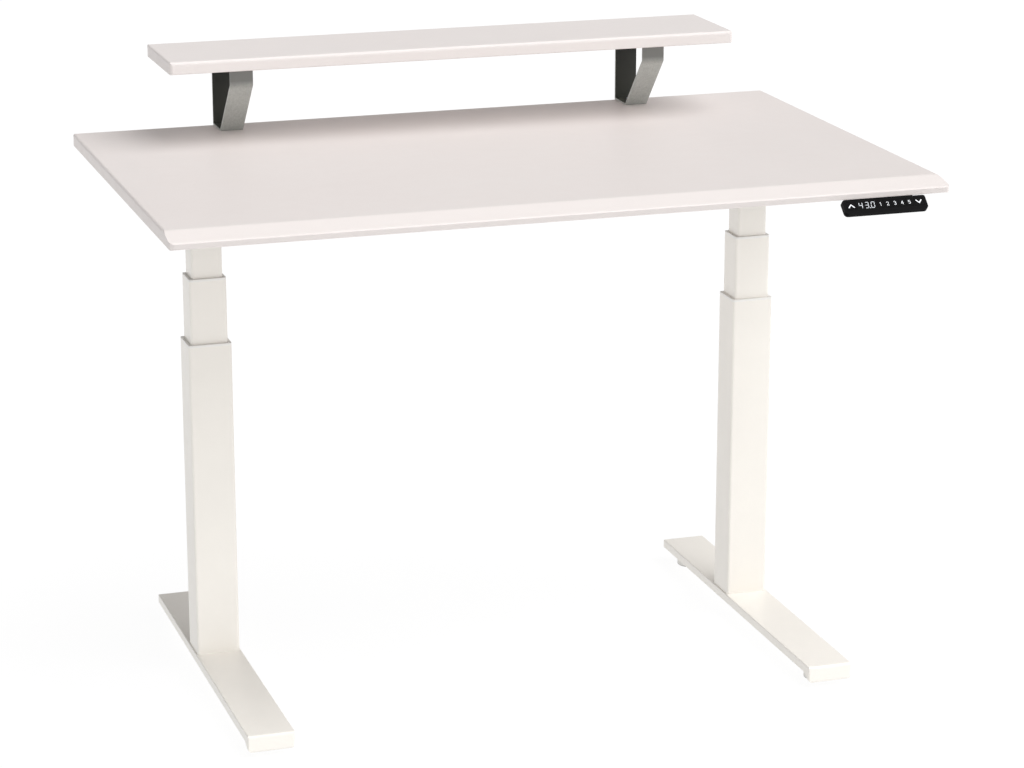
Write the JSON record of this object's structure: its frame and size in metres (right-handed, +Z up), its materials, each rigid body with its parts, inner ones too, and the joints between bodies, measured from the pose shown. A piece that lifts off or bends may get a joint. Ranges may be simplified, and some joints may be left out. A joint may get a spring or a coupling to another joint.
{
  "type": "height-adjustable standing desk",
  "caption": "Electric standing desk with a bevelled white top, telescopic columns, long feet on glides, a control handset and a monitor shelf on steel strap brackets.",
  "frame": {"origin": "on the floor, under the middle of the desk's bounding box", "axes": "+X to the user's right, +Y away from the user, +Z up"},
  "size_m": [1.219, 0.781, 0.983],
  "materials": {
    "white_powder": "fine-textured white powder coat",
    "white_board": "matt white thermofoil over fibreboard",
    "white_guide": "satin moulded nylon",
    "pad_grey": "matt moulded plastic on a zinc-plated stud",
    "zinc": "bright zinc plate",
    "spindle_steel": "rolled and ground, lightly greased",
    "nut_plastic": "natural acetal",
    "bronze": "turned and hobbed",
    "frame_black": "semi-matt dark grey powder coat",
    "motor_black": "satin black enamel",
    "box_black": "fine-grained moulded plastic",
    "lead_black": "satin flexible sheath",
    "clip_grey": "moulded nylon",
    "handset_shell": "fine-grained moulded plastic",
    "handset_face": "glossy film with printed white symbols",
    "circuit": "solder-masked board",
    "strap_metal": "satin metallic outside, dark inside"
  },
  "bodies": {
    "base": {"left_foot": "white_powder", "right_foot": "white_powder", "left_lower_tube": "white_powder", "right_lower_tube": "white_powder", "lower_collars": "white_guide", "nut_posts": "zinc", "outer_nuts": "nut_plastic", "foot_bolts": "zinc"},
    "glide_fl": {"glide_front_left": "pad_grey"},
    "glide_fr": {"glide_front_right": "pad_grey"},
    "glide_rl": {"glide_rear_left": "pad_grey"},
    "glide_rr": {"glide_rear_right": "pad_grey"},
    "left_mid": {"left_mid_tube": "white_powder", "left_mid_slides": "white_guide", "left_mid_guide": "zinc", "left_spindle_bearing": "spindle_steel", "left_inner_nut": "nut_plastic"},
    "left_outer": {"left_outer_spindle": "spindle_steel"},
    "left_inner": {"left_inner_spindle": "spindle_steel", "left_worm_wheel": "bronze"},
    "left_worm": {"left_worm_shaft": "spindle_steel"},
    "right_mid": {"right_mid_tube": "white_powder", "right_mid_slides": "white_guide", "right_mid_guide": "zinc", "right_spindle_bearing": "spindle_steel", "right_inner_nut": "nut_plastic"},
    "right_outer": {"right_outer_spindle": "spindle_steel"},
    "right_inner": {"right_inner_spindle": "spindle_steel", "right_worm_wheel": "bronze"},
    "right_worm": {"right_worm_shaft": "spindle_steel"},
    "top": {"left_upper_tube": "white_powder", "right_upper_tube": "white_powder", "upper_slides": "white_guide", "left_gearbox": "frame_black", "right_gearbox": "frame_black", "left_motor": "motor_black", "right_motor": "motor_black", "left_side_rail": "frame_black", "right_side_rail": "frame_black", "crossbars": "frame_black", "frame_bolts": "zinc", "desktop": "white_board", "wood_screws": "zinc", "control_box": "box_black", "leads": "lead_black", "lead_clips": "clip_grey", "handset_housing": "handset_shell", "handset_fascia": "handset_face", "handset_board": "circuit", "shelf": "white_board", "left_shelf_bracket": "strap_metal", "right_shelf_bracket": "strap_metal"},
    "key_up": {"key_up": "handset_face"},
    "key_down": {"key_down": "handset_face"},
    "key_1": {"key_1": "handset_face"},
    "key_2": {"key_2": "handset_face"},
    "key_3": {"key_3": "handset_face"},
    "key_4": {"key_4": "handset_face"},
    "key_5": {"key_5": "handset_face"}
  },
  "joints": [
    {"name": "top_lift", "type": "slide", "parent": "base", "child": "top", "axis": [0, 0, 1], "range_m": [-0.2, 0.45]},
    {"name": "left_mid_lift", "type": "slide", "parent": "base", "child": "left_mid", "axis": [0, 0, 1], "range_m": [-0.1, 0.225]},
    {"name": "left_inner_turn", "type": "hinge", "parent": "top", "child": "left_inner", "pos_m": [-0.4625, 0.08447, 0.6], "axis": [0, 0, 1], "range_deg": [-4502, 10127]},
    {"name": "left_outer_turn", "type": "hinge", "parent": "left_mid", "child": "left_outer", "pos_m": [-0.4625, 0.08447, 0.4], "axis": [0, 0, 1], "range_deg": [-4502, 10127]},
    {"name": "left_worm_turn", "type": "hinge", "parent": "top", "child": "left_worm", "pos_m": [-0.4625, 0.06112, 0.796], "axis": [1, 0, 0], "range_deg": [-90002, 202502]},
    {"name": "right_mid_lift", "type": "slide", "parent": "base", "child": "right_mid", "axis": [0, 0, 1], "range_m": [-0.1, 0.225]},
    {"name": "right_inner_turn", "type": "hinge", "parent": "top", "child": "right_inner", "pos_m": [0.4625, 0.08447, 0.6], "axis": [0, 0, 1], "range_deg": [-4502, 10127]},
    {"name": "right_outer_turn", "type": "hinge", "parent": "right_mid", "child": "right_outer", "pos_m": [0.4625, 0.08447, 0.4], "axis": [0, 0, 1], "range_deg": [-4502, 10127]},
    {"name": "right_worm_turn", "type": "hinge", "parent": "top", "child": "right_worm", "pos_m": [0.4625, 0.06112, 0.796], "axis": [1, 0, 0], "range_deg": [-90002, 202502]},
    {"name": "glide_fl_turn", "type": "hinge", "parent": "base", "child": "glide_fl", "pos_m": [-0.4625, -0.25553, 0.01], "axis": [0, 0, 1], "range_deg": [-2160, 2160]},
    {"name": "glide_fr_turn", "type": "hinge", "parent": "base", "child": "glide_fr", "pos_m": [0.4625, -0.25553, 0.01], "axis": [0, 0, 1], "range_deg": [-2160, 2160]},
    {"name": "glide_rl_turn", "type": "hinge", "parent": "base", "child": "glide_rl", "pos_m": [-0.4625, 0.31948, 0.01], "axis": [0, 0, 1], "range_deg": [-2160, 2160]},
    {"name": "glide_rr_turn", "type": "hinge", "parent": "base", "child": "glide_rr", "pos_m": [0.4625, 0.31948, 0.01], "axis": [0, 0, 1], "range_deg": [-2160, 2160]},
    {"name": "key_up_press", "type": "slide", "parent": "top", "child": "key_up", "axis": [0, 0.6691, -0.7431], "range_m": [0, 0.0008], "stiffness_N_per_m": 1500, "springref_m": -0.0008},
    {"name": "key_down_press", "type": "slide", "parent": "top", "child": "key_down", "axis": [0, 0.6691, -0.7431], "range_m": [0, 0.0008], "stiffness_N_per_m": 1500, "springref_m": -0.0008},
    {"name": "key_1_press", "type": "slide", "parent": "top", "child": "key_1", "axis": [0, 0.6691, -0.7431], "range_m": [0, 0.0008], "stiffness_N_per_m": 1500, "springref_m": -0.0008},
    {"name": "key_2_press", "type": "slide", "parent": "top", "child": "key_2", "axis": [0, 0.6691, -0.7431], "range_m": [0, 0.0008], "stiffness_N_per_m": 1500, "springref_m": -0.0008},
    {"name": "key_3_press", "type": "slide", "parent": "top", "child": "key_3", "axis": [0, 0.6691, -0.7431], "range_m": [0, 0.0008], "stiffness_N_per_m": 1500, "springref_m": -0.0008},
    {"name": "key_4_press", "type": "slide", "parent": "top", "child": "key_4", "axis": [0, 0.6691, -0.7431], "range_m": [0, 0.0008], "stiffness_N_per_m": 1500, "springref_m": -0.0008},
    {"name": "key_5_press", "type": "slide", "parent": "top", "child": "key_5", "axis": [0, 0.6691, -0.7431], "range_m": [0, 0.0008], "stiffness_N_per_m": 1500, "springref_m": -0.0008}
  ],
  "couplings": [
    {"joint": "left_mid_lift", "follows": "top_lift", "ratio": 0.5},
    {"joint": "left_inner_turn", "follows": "top_lift", "rad_per_m": 392.7},
    {"joint": "left_outer_turn", "follows": "top_lift", "rad_per_m": 392.7},
    {"joint": "left_worm_turn", "follows": "top_lift", "rad_per_m": 7854},
    {"joint": "right_mid_lift", "follows": "top_lift", "ratio": 0.5},
    {"joint": "right_inner_turn", "follows": "top_lift", "rad_per_m": 392.7},
    {"joint": "right_outer_turn", "follows": "top_lift", "rad_per_m": 392.7},
    {"joint": "right_worm_turn", "follows": "top_lift", "rad_per_m": 7854}
  ]
}
